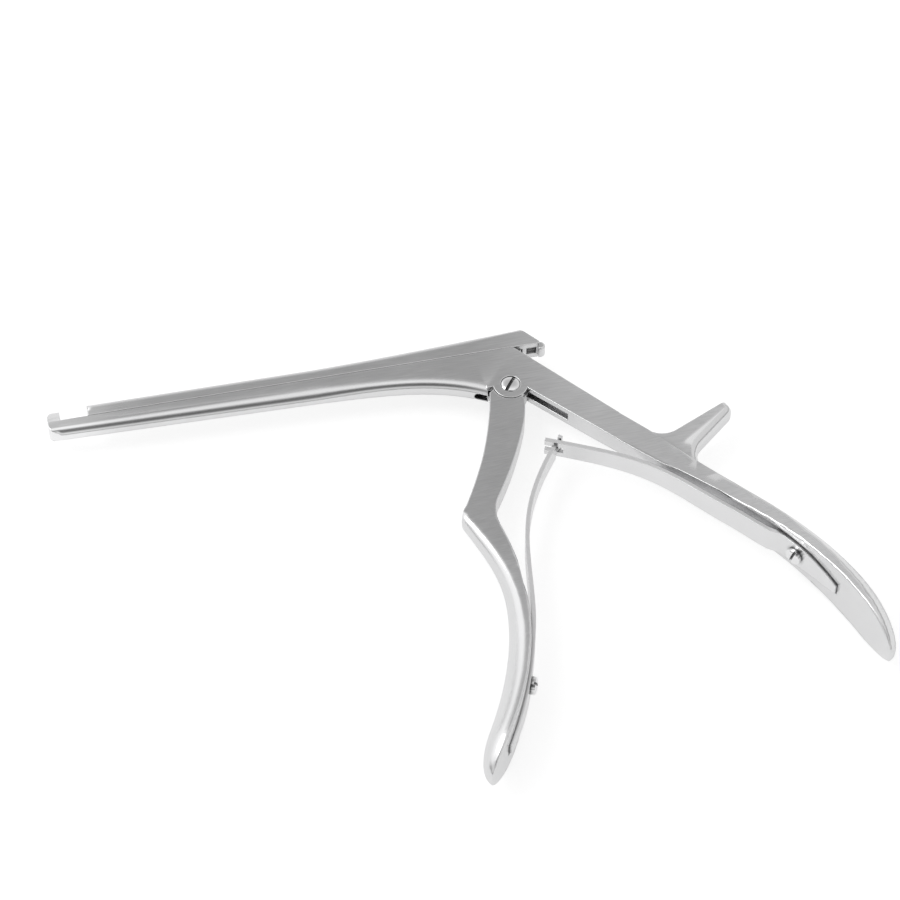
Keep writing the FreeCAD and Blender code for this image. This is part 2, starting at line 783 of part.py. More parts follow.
def sliding_shaft():
    """The upper shaft: a lofted bar with round upper edges, guide rails below and a notch for the finger."""
    tip = loft("SliderTip", [slider_section("SliderTipSection", "shaftReach - jawGap"),
                             slider_section("SliderMiddleSection", "taperEnd")])
    stations = [f"(taperEnd - (taperEnd + sliderTail + cutLap) * {i / 5})" for i in range(6)]
    bar = loft("SliderBar", [slider_section(f"SliderSection{i}", x) for i, x in enumerate(stations)])
    top = "seamHeight + railLap"
    low = "seamHeight - neckHeight"
    neck = ("neckHeight + railLap", "neckWidth")
    flange = ("flangeHeight", "flangeWidth")
    tip_rear = "-tipRailStart"
    tip_front = "-(tipRailStart + tipRailLength)"
    rails = [
        groove("FrontNeck", "-frontRailReach", "frontRailEnd", top, *neck),
        groove("FrontFlange", "-frontRailReach", "frontRailEnd", low, *flange),
        groove("TipRailNeck", tip_front, tip_rear, top, "tipNeckHeight + railLap", "tipNeckWidth"),
        groove("TipRailFlange", tip_front, tip_rear, "seamHeight - tipNeckHeight", "tipFlangeHeight",
               "tipFlangeWidth"),
    ]
    blank = cut("SliderTailShape", fuse("SliderBlank", [tip, bar, *rails]), [
        slab("TailCut", tail_outline(), "-cutLap", "bodyThickness + cutLap"),
        block("TailSlot", ("tailSlotStart", "seamHeight - cutLap", "(bodyThickness - slotWidth) / 2"),
              ("tailSlotEnd", "seamHeight + tailSlotDepth", "(bodyThickness + slotWidth) / 2")),
    ])
    solid = fuse("SliderWithTail", [blank, tail_end()])
    centre = "fingerReach * sin(fingerRest * 1deg)"
    half = "(fingerRadius + notchClearance)"
    low = "(bodyThickness - slotWidth) / 2"
    high = "(bodyThickness + slotWidth) / 2"
    notch = block("FingerNotch", (f"{centre} - {half}", "seamHeight - cutLap", low),
                  (f"{centre} + {half}", "fingerReach + fingerRadius + 2 * notchClearance", high))
    return cut("sliding_shaft", solid, [
        notch,
        bite_cup("SliderCup", "-(shaftReach - jawGap)", -1),
    ])


def slider_top(x):
    """Height of the sliding shaft's top at a distance x in front of the pivot."""
    share = f"(max(taperEnd - ({x}); 0) / taperEnd)"
    sag = f"min((shaftReach - ({x})) / (shaftReach - taperEnd); 1)"
    return f"(seamHeight + sliderRise - sliderSag * {sag} + sliderGain * {share}^1.5)"


def slider_section(name, x):
    middle = "(bodyThickness / 2)"
    half = f"({shaft_half_width(f'({x})')} - {seam_inset(f'max({x}; fairingFront)')})"
    high = slider_top(x)
    low = "seamHeight + slideClearance"
    round_edge = "sliderEdgeRadius"
    corners = [
        (low, f"{middle} - {half}"),
        (f"{high} - {round_edge}", f"{middle} - {half}", round_edge, "left"),
        (high, f"{middle} - {half} + {round_edge}"),
        (high, f"{middle} + {half} - {round_edge}", round_edge, "left"),
        (f"{high} - {round_edge}", f"{middle} + {half}"),
        (low, f"{middle} + {half}"),
    ]
    return sketch(name, cross_plane(f"-({x})"), corners)


def tail_outline():
    """What is cut away behind the sliding shaft's sloping tail."""
    high = "seamHeight + 2 * roofRise"
    low = "seamHeight - cutLap"
    rear = "sliderTail + 6 * cutLap"
    return [
        ("sliderRoof", high),
        ("sliderRoof", "seamHeight + roofRise", "roofRadius", "right"),
        ("sliderRoof + roofRun", "seamHeight + roofRise - roofDrop"),
        ("slopeEnd", "seamHeight + slopeEndRise", "slopeRadius", "right"),
        ("slopeEnd", "seamHeight"),
        ("slopeEnd", low),
        (rear, low),
        (rear, high),
    ]


def tail_end():
    """The round end behind the sliding shaft's tail, which runs into the body's mouth."""
    low = "(bodyThickness - flangeWidth) / 2"
    centre = ("sliderTail - tailEndRadius", "seamHeight - neckHeight + tailEndRadius", low)
    place = Placement(Vector(*[value(c) for c in centre]), Rotation())
    roll = cylinder("TailRoll", "tailEndRadius", "flangeWidth", place)
    doc.recompute()
    rims = [i for i, edge in enumerate(roll.Shape.Edges, start=1) if len(edge.Vertexes) == 1]
    rounded = doc.addObject("Part::Fillet", "TailRollRound")
    rounded.Base = roll
    rounded.Edges = [(i, value("tailEndRound"), value("tailEndRound")) for i in rims]
    box = block("TailEndBox", ("tailBlockStart", "seamHeight - 2 * neckHeight", low),
                ("sliderTail + cutLap", "seamHeight + roofRise", "(bodyThickness + flangeWidth) / 2"))
    return common("TailEnd", rounded, box)


def front_handle():
    """The moving handle: plate, grip, tongue and finger."""
    plate = slab("FrontPlate", list(plate_corners().values()), "0", "bodyThickness")
    handle = grip("FrontGrip", front_curve, "frontNoseStation", "frontNoseDepth", [
        "frontLength", "frontRootDepth", "frontWaistDepth", "frontPalmDepth", "frontFlatFade",
        "frontFlatKeep", "frontTipShare"])
    low = "(bodyThickness - tongueThickness) / 2"
    high = "(bodyThickness + tongueThickness) / 2"
    tongue = cylinder("Tongue", "tongueRadius", "tongueThickness", flat_plane(low))
    finger = block("Finger", ("-fingerNeck / 2", "0", low), ("fingerNeck / 2", "fingerReach", high))
    finger_turn = Placement(Vector(), Rotation(Vector(0, 0, 1), -value("fingerRest")))
    finger.Placement = finger_turn.multiply(finger.Placement)
    tip_spot = finger_turn.multVec(Vector(0, value("fingerReach"), value(low)))
    tip = cylinder("FingerTip", "fingerRadius", "tongueThickness", Placement(tip_spot, Rotation()))
    web = block("TongueWeb", ("-webLeft", "-webLow", low), ("webRight", "-webHigh", high))
    solid = fuse("FrontBlank", [plate, handle, tongue, finger, tip, web])
    return cut("front_handle", solid, [
        cylinder("TongueBore", "pivotShankRadius + pivotClearance", "bodyThickness", flat_plane("0")),
        channel("FrontChannel", front_curve, "frontChannelStart", "frontScrewStation", "frontFootStation"),
        screw_hole("FrontScrewHole", front_curve, "frontScrewStation"),
    ])


def plate_corners():
    """The flat upper part of the moving handle, with shoulders round the body's lobe."""
    notch_end = front_curve.point(value("frontNotchStation"))
    inside = front_curve.point(value("frontNotchStation"), value("plateInset"))
    shoulder = "(lobeRadius + shoulderGap)"
    first, last = [(f"{shoulder} * cos({a} * 1deg)", f"{shoulder} * sin({a} * 1deg)")
                   for a in ("shoulderStart", "shoulderEnd")]
    return {
        "lobe_start": (*first, shoulder, "left"),
        "lobe_end": last,
        "shoulder_end": ("shoulderEndX", "shoulderEndY", "shoulderBend", "right"),
        "waist": ("plateWaistX", "plateWaistY", "plateWaistBend", "right"),
        "notch_start": ("plateRootX", "plateRootY", "frontNotchRadius", "left"),
        "notch_end": (notch_end.x, notch_end.y),
        "inside": (inside.x, inside.y),
        "nose": ("plateNoseX", "plateNoseY", "plateNoseBend", "left"),
        "outer_middle": ("plateMiddleX", "plateMiddleY", "plateMiddleBend", "left"),
        "outer_high": ("plateHighX", "plateHighY", "plateHighBend", "left"),
        "shoulder_low": ("shoulderLowX", "shoulderLowY"),
        "shoulder_start": ("shoulderStartX", "shoulderStartY"),
    }


def station_rect(name, place, thickness, width):
    half_t = thickness / 2
    half_w = width / 2
    return sketch(name, place, [(-half_t, -half_w), (half_t, -half_w), (half_t, half_w), (-half_t, half_w)])


def leaf_spring(name, curve, screw, foot, tip_angle, reach):
    """Leaf spring: its foot follows the channel's floor, its free end curves to the meeting point."""
    screw, foot, reach = [value(t) for t in (screw, foot, reach)]
    thickness = value("springThickness")
    seat = value("channelDepth") - value("springSeat") - thickness / 2
    middle = Vector(0, 0, value("bodyThickness / 2"))
    sections = []
    leave = screw - value("springHeadRadius * 2")
    foot_count = 8
    for index in range(foot_count + 1):
        s = foot + (leave - foot) * index / foot_count
        sections.append((curve.point(s, seat), curve.back(s), spring_width(s, screw, foot)))
    heading = curve.heading(leave)
    meet = Vector(value("meetX"), value("meetY"), 0)
    turn = math.radians(value(tip_angle))
    tip_way = Vector(math.cos(turn), math.sin(turn), 0)
    free = Part.BSplineCurve()
    way = Vector(-math.cos(heading), -math.sin(heading), 0)
    start = curve.point(leave, seat)
    free.interpolate(Points=[start, *free_points(name, curve), meet], InitialTangent=way,
                     FinalTangent=tip_way)
    free_count = 16
    wide = value("springScrewWidth")
    for index in range(1, free_count + 1):
        share = index / free_count
        t = free.FirstParameter + (free.LastParameter - free.FirstParameter) * share
        along = free.tangent(t)[0]
        back = Vector(along.y, -along.x, 0) * curve.back_side
        width = wide + (value("springTipWidth") - wide) * smooth(share)
        sections.append((free.value(t), back, width))
    sections.append((meet + tip_way * reach, sections[-1][1], value("springTipWidth")))
    wires = []
    for index, (spot, back, width) in enumerate(sections):
        place = Placement(spot + middle, Rotation(back, Vector(0, 0, 1), back.cross(Vector(0, 0, 1))))
        wires.append(station_rect(f"{name}Section{index}", place, thickness, width))
    return loft(name, wires), tip_way, meet + middle


def free_points(name, curve):
    """Points that the free part of a spring bows through, at their distance from the handle's face."""
    bows = [("frontBowStation1", "frontBowDepth1"), ("frontBowStation2", "frontBowDepth2"),
            ("frontBowStation3", "frontBowDepth3")]
    if name == "RearLeaf":
        bows = [("rearBowStation1", "rearBowDepth1"), ("rearBowStation2", "rearBowDepth2"),
                ("rearBowStation3", "rearBowDepth3")]
    return [curve.point(value(station), value(depth)) for station, depth in bows]


def oriented_box(name, spot, along, low, high):
    """A box whose own X runs along a direction in the XY plane, between two corners from a point."""
    made = doc.addObject("Part::Box", name)
    made.Length = high[0] - low[0]
    made.Width = high[1] - low[1]
    made.Height = high[2] - low[2]
    turn = Rotation(along, Vector(-along.y, along.x, 0), Vector(0, 0, 1))
    made.Placement = Placement(spot + turn.multVec(Vector(*low)), turn)
    return made


def rear_leaf_spring():
    leaf, along, spot = leaf_spring("RearLeaf", rear_curve, "rearScrewStation", "rearFootStation",
                                    "rearTipAngle", "forkReach")
    half = value("forkSlot / 2")
    back = value("forkReach - forkDepth")
    across = value("springTipWidth / 2")
    slot = oriented_box("ForkSlot", spot, along, (back, -across, -half),
                        (value("forkReach + cutLap"), across, half))
    hole = spring_screw_clearance("RearLeafHole", rear_curve, "rearScrewStation")
    return cut("rear_leaf_spring", leaf, [slot, hole])


def front_leaf_spring():
    leaf, along, spot = leaf_spring("FrontLeaf", front_curve, "frontScrewStation", "frontFootStation",
                                    "frontTipAngle", "hookReach")
    half = value("hookNeckWidth / 2")
    wide = value("springTipWidth")
    top = value("hookReach - hookLength")
    base = top - value("hookNeckLength")
    across = value("springTipWidth / 2")
    sides = [oriented_box(f"HookSide{i}", spot, along, (base, -across, low), (top, across, high))
             for i, (low, high) in enumerate(((-wide, -half), (half, wide)))]
    hole = spring_screw_clearance("FrontLeafHole", front_curve, "frontScrewStation")
    return cut("front_leaf_spring", leaf, [*sides, hole])


def spring_screw_clearance(name, curve, station):
    return cylinder(name, "springShankRadius + springHoleClearance", "2 * springHoleReach",
                    across_face(curve, value(station), value("springHoleReach")))


def screw(label, head, shank_radius, shank_length, place):
    """A slotted screw: a revolved body whose head has a domed top, cut by the slot. The head is given
    as its radius, its height and the dome's height."""
    head_radius, head_height, dome = head
    body = doc.addObject("PartDesign::Body", label)
    body.Label = label
    profile = body.newObject("Sketcher::SketchObject", label + "Profile")
    plane = [f for f in body.Origin.OriginFeatures if f.Role == "XZ_Plane"][0]
    profile.AttachmentSupport = [(plane, "")]
    profile.MapMode = "FlatFace"
    rows = [(0, f"-({shank_length})"), (shank_radius, f"-({shank_length})"), (shank_radius, 0),
            (head_radius, 0), (head_radius, f"{head_height} - {dome}"), (0, head_height)]
    count = len(rows)
    points = [Vector(value(x), value(y), 0) for x, y in rows]
    bulge_text = f"(({head_radius})^2 + ({dome})^2) / (2 * ({dome}))"
    bulge = value(bulge_text)
    for i in range(count):
        if i == 4:
            centre = circle_centre(points[4], points[5], bulge, True)
            angles = [math.atan2(p.y - centre.y, p.x - centre.x) for p in (points[4], points[5])]
            circle = Part.Circle(centre, Vector(0, 0, 1), bulge)
            profile.addGeometry(Part.ArcOfCircle(circle, *angles), False)
        else:
            profile.addGeometry(Part.LineSegment(points[i], points[(i + 1) % count]), False)
    for i, (x, y) in enumerate(rows):
        profile.addConstraint(Sketcher.Constraint("Coincident", i, 2, (i + 1) % count, 1))
        bind(profile, Sketcher.Constraint("DistanceX", i, 1, points[i].x), x)
        bind(profile, Sketcher.Constraint("DistanceY", i, 1, points[i].y), y)
    bind(profile, Sketcher.Constraint("Radius", 4, bulge), bulge_text)
    turned = body.newObject("PartDesign::Revolution", label + "Turned")
    turned.Profile = profile
    turned.ReferenceAxis = (profile, ["V_Axis"])
    turned.Angle = 360
    doc.recompute()
    slot = body.newObject("Sketcher::SketchObject", label + "SlotProfile")
    top_plane = [f for f in body.Origin.OriginFeatures if f.Role == "XY_Plane"][0]
    slot.AttachmentSupport = [(top_plane, "")]
    slot.MapMode = "FlatFace"
    slot.AttachmentOffset = Placement(Vector(0, 0, value(head_height)), Rotation())
    slot.setExpression("AttachmentOffset.Base.z", bound(head_height))
    half_x = f"({head_radius}) + cutLap"
    corners = [(f"-({half_x})", "-slotCutWidth / 2"), (half_x, "-slotCutWidth / 2"),
               (half_x, "slotCutWidth / 2"), (f"-({half_x})", "slotCutWidth / 2")]
    spots = [Vector(value(x), value(y), 0) for x, y in corners]
    for i in range(4):
        slot.addGeometry(Part.LineSegment(spots[i], spots[(i + 1) % 4]), False)
    for i, (x, y) in enumerate(corners):
        slot.addConstraint(Sketcher.Constraint("Coincident", i, 2, (i + 1) % 4, 1))
        bind(slot, Sketcher.Constraint("DistanceX", i, 1, spots[i].x), x)
        bind(slot, Sketcher.Constraint("DistanceY", i, 1, spots[i].y), y)
    groove_cut = body.newObject("PartDesign::Pocket", label + "Slot")
    groove_cut.Profile = slot
    groove_cut.setExpression("Length", bound(f"slotCutDepth + {dome}"))
    body.Placement = place
    return body


def pivot_screw():
    place = Placement(Vector(0, 0, value("bodyThickness - pivotHeadSeat")),
                      Rotation(Vector(0, 0, 1), value("pivotScrewTurn")))
    shank = "bodyThickness - pivotHeadSeat - pivotBoreFloor - pivotShankGap"
    return screw("pivot_screw", ("pivotHeadRadius", "pivotHeadHeight", "pivotHeadDome"),
                 "pivotShankRadius", shank, place)


def spring_screw(label, curve, station, turn):
    seat = value("channelDepth - springSeat - springThickness - screwSeatGap")
    place = across_face(curve, value(station), seat)
    place = place.multiply(Placement(Vector(), Rotation(Vector(0, 0, 1), value(turn))))
    return screw(label, ("springHeadRadius", "springHeadHeight", "springHeadDome"), "springShankRadius",
                 "springShankLength", place)


pieces = [
    fixed_shaft(),
    sliding_shaft(),
    front_handle(),
    pivot_screw(),
    rear_leaf_spring(),
    front_leaf_spring(),
    spring_screw("rear_spring_screw", rear_curve, "rearScrewStation", "rearScrewTurn"),
    spring_screw("front_spring_screw", front_curve, "frontScrewStation", "frontScrewTurn"),
]
doc.recompute()

failed = [o.Name for o in doc.Objects if "Invalid" in o.State or "Error" in o.State]
if failed:
    raise RuntimeError("these objects failed: " + ", ".join(failed))
for piece in pieces:
    if piece.Shape.isNull() or not piece.Shape.isValid():
        raise RuntimeError(piece.Label + " has no valid shape")

os.makedirs("parts", exist_ok=True)
for piece in pieces:
    piece.Shape.exportStep(f"parts/{piece.Label}.step")
    box = piece.Shape.BoundBox
    print(piece.Label, len(piece.Shape.Solids), round(piece.Shape.Volume, 1),
          [round(v, 2) for v in (box.XMin, box.XMax, box.YMin, box.YMax, box.ZMin, box.ZMax)])
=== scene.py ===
import bpy
import bmesh
import math
from mathutils import Matrix, Vector


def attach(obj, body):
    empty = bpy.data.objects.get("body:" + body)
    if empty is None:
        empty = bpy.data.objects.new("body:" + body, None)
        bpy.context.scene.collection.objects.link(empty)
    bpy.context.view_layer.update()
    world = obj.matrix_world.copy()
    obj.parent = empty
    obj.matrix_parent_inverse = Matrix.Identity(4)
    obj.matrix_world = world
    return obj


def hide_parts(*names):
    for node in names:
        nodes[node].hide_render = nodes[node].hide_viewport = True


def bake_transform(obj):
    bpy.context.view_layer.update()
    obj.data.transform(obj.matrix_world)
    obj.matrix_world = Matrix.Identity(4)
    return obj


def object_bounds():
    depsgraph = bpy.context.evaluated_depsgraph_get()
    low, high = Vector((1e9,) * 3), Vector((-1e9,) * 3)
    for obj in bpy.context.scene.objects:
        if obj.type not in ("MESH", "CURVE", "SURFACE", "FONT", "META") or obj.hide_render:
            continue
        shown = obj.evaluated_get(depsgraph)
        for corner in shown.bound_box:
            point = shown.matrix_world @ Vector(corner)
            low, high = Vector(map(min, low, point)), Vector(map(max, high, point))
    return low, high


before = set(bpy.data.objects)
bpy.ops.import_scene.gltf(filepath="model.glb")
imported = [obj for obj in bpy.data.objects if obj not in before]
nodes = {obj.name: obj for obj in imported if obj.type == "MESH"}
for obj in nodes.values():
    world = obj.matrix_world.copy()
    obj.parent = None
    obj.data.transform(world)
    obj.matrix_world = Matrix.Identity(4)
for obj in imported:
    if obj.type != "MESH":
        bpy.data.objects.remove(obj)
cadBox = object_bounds()
scene = bpy.context.scene
print("frame loaded:", ", ".join(sorted(nodes)))


# camera, at the photograph's angle
cameraView = {
    "place": (-0.1265, -0.5471, 0.7217),
    "lookAt": (-0.01946, -0.01611, 0.0029),
    "lens": 138.5,
    "sensor": 36.0,
    "nearest": 0.01,
}
cameraData = bpy.data.cameras.new("studioCamera")
cameraData.lens = cameraView["lens"]
cameraData.sensor_width = cameraView["sensor"]
cameraData.clip_start = cameraView["nearest"]
camera = bpy.data.objects.new("studioCamera", cameraData)
camera.location = cameraView["place"]
towards = Vector(cameraView["lookAt"]) - Vector(cameraView["place"])
camera.rotation_euler = towards.to_track_quat("-Z", "Y").to_euler()
scene.collection.objects.link(camera)
scene.camera = camera
scene.view_settings.view_transform = "Standard"
print("camera set")


# node writing: a Flow is one output socket, so that maths on it reads as plain expressions
class Flow:
    def __init__(self, tree, socket):
        self.tree = tree
        self.socket = socket

    def join(self, operation, first, second):
        return self.tree.node("ShaderNodeMath", {"operation": operation}, {0: first, 1: second})

    def __add__(self, other):
        return self.join("ADD", self, other)

    def __radd__(self, other):
        return self.join("ADD", other, self)

    def __sub__(self, other):
        return self.join("SUBTRACT", self, other)

    def __rsub__(self, other):
        return self.join("SUBTRACT", other, self)

    def __mul__(self, other):
        return self.join("MULTIPLY", self, other)

    def __rmul__(self, other):
        return self.join("MULTIPLY", other, self)

    def __truediv__(self, other):
        return self.join("DIVIDE", self, other)

    def __gt__(self, other):
        return self.join("GREATER_THAN", self, other)


class NodeTree:
    def __init__(self, tree):
        self.nodes = tree.nodes
        self.links = tree.links
        self.nodes.clear()

    def node(self, kind, settings=None, inputs=None, output=0):
        made = self.nodes.new(kind)
        for name, setting in (settings or {}).items():
            setattr(made, name, setting)
        for key, given in (inputs or {}).items():
            if isinstance(given, Flow):
                self.links.new(given.socket, made.inputs[key])
            else:
                made.inputs[key].default_value = given
        return Flow(self, made.outputs[output]) if made.outputs else None

    def vector(self, operation, first, second, output=0):
        return self.node("ShaderNodeVectorMath", {"operation": operation}, {0: first, 1: second}, output)

    def fade(self, amount, low, high, start=0.0, end=1.0):
        settings = {"interpolation_type": "SMOOTHSTEP"}
        inputs = {0: amount, 1: low, 2: high, 3: start, 4: end}
        return self.node("ShaderNodeMapRange", settings, inputs)

    def noise(self, place, scale, detail=2.0, roughness=0.5):
        inputs = {"Vector": place, "Scale": scale, "Detail": detail, "Roughness": roughness}
        return self.node("ShaderNodeTexNoise", None, inputs)


def shaderTree(owner):
    owner.use_nodes = True
    return NodeTree(owner.node_tree)


# world: an even pale studio with soft lights overhead and at the left, dimmer behind and along the
# horizon, except on its open side, and dark where the camera stands
studioLight = {
    "sky": 0.92,
    "horizon": 0.42,
    "horizonSpan": (-0.10, 0.0, 0.10, 0.24),
    "openWay": (0.2, 0.98, 0.0),
    "openWidth": (0.94, 0.78),
    "overhead": 1.15,
    "overheadWidth": (0.84, 0.98),
    "leftWay": (-0.70, 0.56, 0.44),
    "left": 1.35,
    "leftWidth": (0.78, 0.96),
    "behind": 0.60,
    "behindWidth": (0.85, 0.985),
    "cameraSide": 0.17,
    "cameraWidth": (0.87, 0.985),
    "keyPower": 1.6,
    "keySize": 0.5,
    "keyPlace": (-0.55, 0.15, 0.75),
}
world = bpy.data.worlds.new("studioWorld")
scene.world = world
sky = shaderTree(world)
skyWay = sky.node("ShaderNodeTexCoord")
cameraWay = (Vector(cameraView["place"]) - Vector(cameraView["lookAt"])).normalized()
behindWay = Vector((-cameraWay.x, -cameraWay.y, cameraWay.z))
climb = sky.node("ShaderNodeSeparateXYZ", None, {0: skyWay}, 2)
low, lowest, highest, high = studioLight["horizonSpan"]
band = sky.fade(climb, low, lowest) * sky.fade(climb, high, highest)
towardsOpen = sky.vector("DOT_PRODUCT", skyWay, studioLight["openWay"], 1)
band = band * sky.fade(towardsOpen, *studioLight["openWidth"])
skyLevel = band * (studioLight["horizon"] - studioLight["sky"]) + studioLight["sky"]
softLights = (((0, 0, 1), "overhead", "overheadWidth"), (studioLight["leftWay"], "left", "leftWidth"),
              (behindWay, "behind", "behindWidth"), (cameraWay, "cameraSide", "cameraWidth"))
for way, share, width in softLights:
    facing = sky.fade(sky.vector("DOT_PRODUCT", skyWay, tuple(way), 1), *studioLight[width])
    skyLevel = skyLevel + facing * (studioLight[share] - skyLevel)
rays = sky.node("ShaderNodeLightPath")
skyLight = sky.node("ShaderNodeBackground", None, {"Strength": skyLevel})
skyWhite = sky.node("ShaderNodeBackground", None, {"Strength": 1.0})
skyMix = sky.node("ShaderNodeMixShader", None, {0: rays, 1: skyLight, 2: skyWhite})
sky.node("ShaderNodeOutputWorld", None, {"Surface": skyMix})

keyData = bpy.data.lights.new("keyPanel", "AREA")
keyData.energy = studioLight["keyPower"]
keyData.size = studioLight["keySize"]
key = bpy.data.objects.new("keyPanel", keyData)
key.location = studioLight["keyPlace"]
key.rotation_euler = (-Vector(studioLight["keyPlace"])).to_track_quat("-Z", "Y").to_euler()
scene.collection.objects.link(key)
print("studio light set")


# floor: plain white, keeps a faint shadow
floorSheet = {"size": 6.0, "drop": 0.0002, "colour": 0.45, "glowSeen": 0.72, "glowShine": 0.52}
floorMesh = bpy.data.meshes.new("studioFloor")
half = floorSheet["size"] / 2
level = cadBox[0][2] - floorSheet["drop"]
corners = [(-half, -half, level), (half, -half, level), (half, half, level), (-half, half, level)]
floorMesh.from_pydata(corners, [], [(0, 1, 2, 3)])
floor = bpy.data.objects.new("studioFloor", floorMesh)
scene.collection.objects.link(floor)
paleFloor = bpy.data.materials.new("paleFloor")
paper = shaderTree(paleFloor)
seen = paper.node("ShaderNodeLightPath")
mirrored = paper.node("ShaderNodeLightPath", None, None, 3)
tone = floorSheet["colour"]
matt = paper.node("ShaderNodeBsdfDiffuse", None, {"Color": (tone, tone, tone, 1)})
glow = seen * floorSheet["glowSeen"] + mirrored * floorSheet["glowShine"]
glowing = paper.node("ShaderNodeEmission", None, {"Strength": glow})
both = paper.node("ShaderNodeAddShader", None, {0: matt, 1: glowing})
paper.node("ShaderNodeOutputMaterial", None, {"Surface": both})
floorMesh.materials.append(paleFloor)
print("floor laid")


# brushed steel: flat sides carry the grain and a darker tone, partly their brushed finish and partly
# painted shade; rounded faces are paler and smoother; hollows are darkened as painted shade.
# These fade along an axis of the piece, each as axis, from, to, gain: "tones" lighten the flat sides,
# "paler" turns flat sides into the tone of rounded faces, "glint" is a painted highlight that lightens
# everything.
# "rounds" are zones with widely softened edges: axis, from, to, centre, ring from and to, radius.
# "leans" are zones where the normal leans outwards: axis, from, to, centre, ring from and to, then the
# way, or None for away from the centre, and how much
def steel(name, finish):
    material = bpy.data.materials.new(name)
    shade = shaderTree(material)
    place = shade.node("ShaderNodeTexCoord", None, None, 3)

    def along(axis, start, end):
        return shade.fade(shade.vector("DOT_PRODUCT", place, axis, 1), start, end)

    turn = math.radians(finish["grainAngle"])
    size = (finish["grainLength"], finish["grainWidth"], finish["grainWidth"])
    stretched = shade.node("ShaderNodeMapping", {"vector_type": "TEXTURE"},
                           {"Vector": place, "Rotation": (0, 0, turn), "Scale": size})
    streaks = shade.noise(stretched, 1.0, *finish["streakNoise"])
    handling = shade.noise(place, finish["cloudScale"], *finish["cloudNoise"])

    levelPlace = shade.vector("MULTIPLY", place, (1, 1, 0))
    softened = shade.node("ShaderNodeBevel", {"samples": finish["edgeSamples"]},
                          {"Radius": finish["edgeRadius"]})
    for axis, start, end, centre, ring, radius in finish["rounds"]:
        reach = shade.vector("DISTANCE", levelPlace, centre, 1)
        share = along(axis, start, end) * shade.fade(reach, *ring)
        wide = shade.node("ShaderNodeBevel", {"samples": finish["wideSamples"]}, {"Radius": radius})
        softened = shade.node("ShaderNodeMix", {"data_type": "VECTOR"},
                              {0: share, 4: softened, 5: wide}, 1)
    for axis, start, end, centre, ring, way, amount in finish["leans"]:
        outwards = shade.vector("SUBTRACT", levelPlace, centre)
        reach = shade.vector("LENGTH", outwards, (0, 0, 0), 1)
        share = along(axis, start, end) * shade.fade(reach, *ring) * amount
        spread = shade.node("ShaderNodeCombineXYZ", None, {0: share, 1: share, 2: share})
        leaning = way or shade.vector("NORMALIZE", outwards, (0, 0, 0))
        tilt = shade.vector("MULTIPLY", leaning, spread)
        softened = shade.vector("NORMALIZE", shade.vector("ADD", softened, tilt), (0, 0, 0))
    up = shade.node("ShaderNodeMath", {"operation": "ABSOLUTE"},
                    {0: shade.node("ShaderNodeSeparateXYZ", None, {0: softened}, 2)})
    flat = shade.fade(up, *finish["flatTilt"])
    for axis, start, end, gain in finish["paler"]:
        flat = flat * (1.0 - along(axis, start, end) * gain)

    # flat sides take a darker tone, partly their brushed finish and partly painted shade
    tone = finish["flatToneAndShade"]
    for axis, start, end, gain in finish["tones"]:
        tone = along(axis, start, end) * gain + tone
    # painted shade: the colour darkens in hollows, where the occlusion test finds walls close by
    cavity = shade.node("ShaderNodeAmbientOcclusion", {"samples": finish["hollowShadeSamples"]},
                        {"Distance": finish["hollowShadeReach"]}, 1)
    hollowShade = shade.fade(cavity, *finish["hollowShadeRange"], finish["hollowShadeTone"], 1.0)
    grain = 1.0 + (streaks - 0.5) * (finish["grainTone"] * flat + finish["roundGrain"])
    cloud = 1.0 + (handling - 0.5) * finish["cloudTone"]
    level = (flat * (tone - finish["roundTone"]) + finish["roundTone"]) * grain * cloud * hollowShade
    # painted highlight: the whole colour is lifted towards the tip
    for axis, start, end, gain in finish["glint"]:
        level = level * (1.0 + along(axis, start, end) * gain)
    colour = shade.node("ShaderNodeCombineColor", None, {0: level, 1: level, 2: level * finish["cool"]})

    rough = finish["roundRough"] + flat * (finish["flatRough"] - finish["roundRough"])
    rough = rough + (streaks - 0.5) * finish["roughGrain"] + (handling - 0.5) * finish["roughCloud"]

    brushed = shade.node("ShaderNodeBump", None, {
        "Strength": finish["bumpStrength"], "Distance": finish["bumpDepth"], "Height": streaks * flat,
        "Normal": softened})
    surface = shade.node("ShaderNodeBsdfPrincipled", None, {
        "Base Color": colour, "Metallic": 1.0, "Roughness": rough, "Normal": brushed})
    shade.node("ShaderNodeOutputMaterial", None, {"Surface": surface})
    return material


steelFinish = {
    "grainAngle": 0.0,
    "grainLength": 0.006,
    "grainWidth": 0.00022,
    "grainTone": 0.42,
    "roundGrain": 0.06,
    "streakNoise": (5.0, 0.62),
    "cloudScale": 70.0,
    "cloudNoise": (3.0, 0.55),
    "cloudTone": 0.10,
    "cool": 1.006,
    "flatTilt": (0.955, 0.998),
    # darker tone of flat sides: partly brushed finish, partly painted shade
    "flatToneAndShade": 0.57,
    "roundTone": 0.82,
    "tones": (),
    "paler": (),
    "glint": (),
    "rounds": (),
    "leans": (),
    # painted shade in hollows: how far the occlusion test looks, its range and the darkest share
    "hollowShadeReach": 0.0016,
    "hollowShadeRange": (0.25, 0.95),
    "hollowShadeTone": 0.42,
    "hollowShadeSamples": 6,
    "edgeRadius": 0.00022,
    "edgeSamples": 8,
    "wideSamples": 16,
    "flatRough": 0.34,
    "roundRough": 0.20,
    "roughGrain": 0.10,
    "roughCloud": 0.05,
    "bumpStrength": 0.10,
    "bumpDepth": 0.00004,
}
shaftTones = (((1, 0, 0), -0.01, 0.02, 0.17), ((1, 0, 0), 0.035, 0.06, 0.16))
shaftTip = (((-1, 0, 0), 0.088, 0.114, 1.0),)
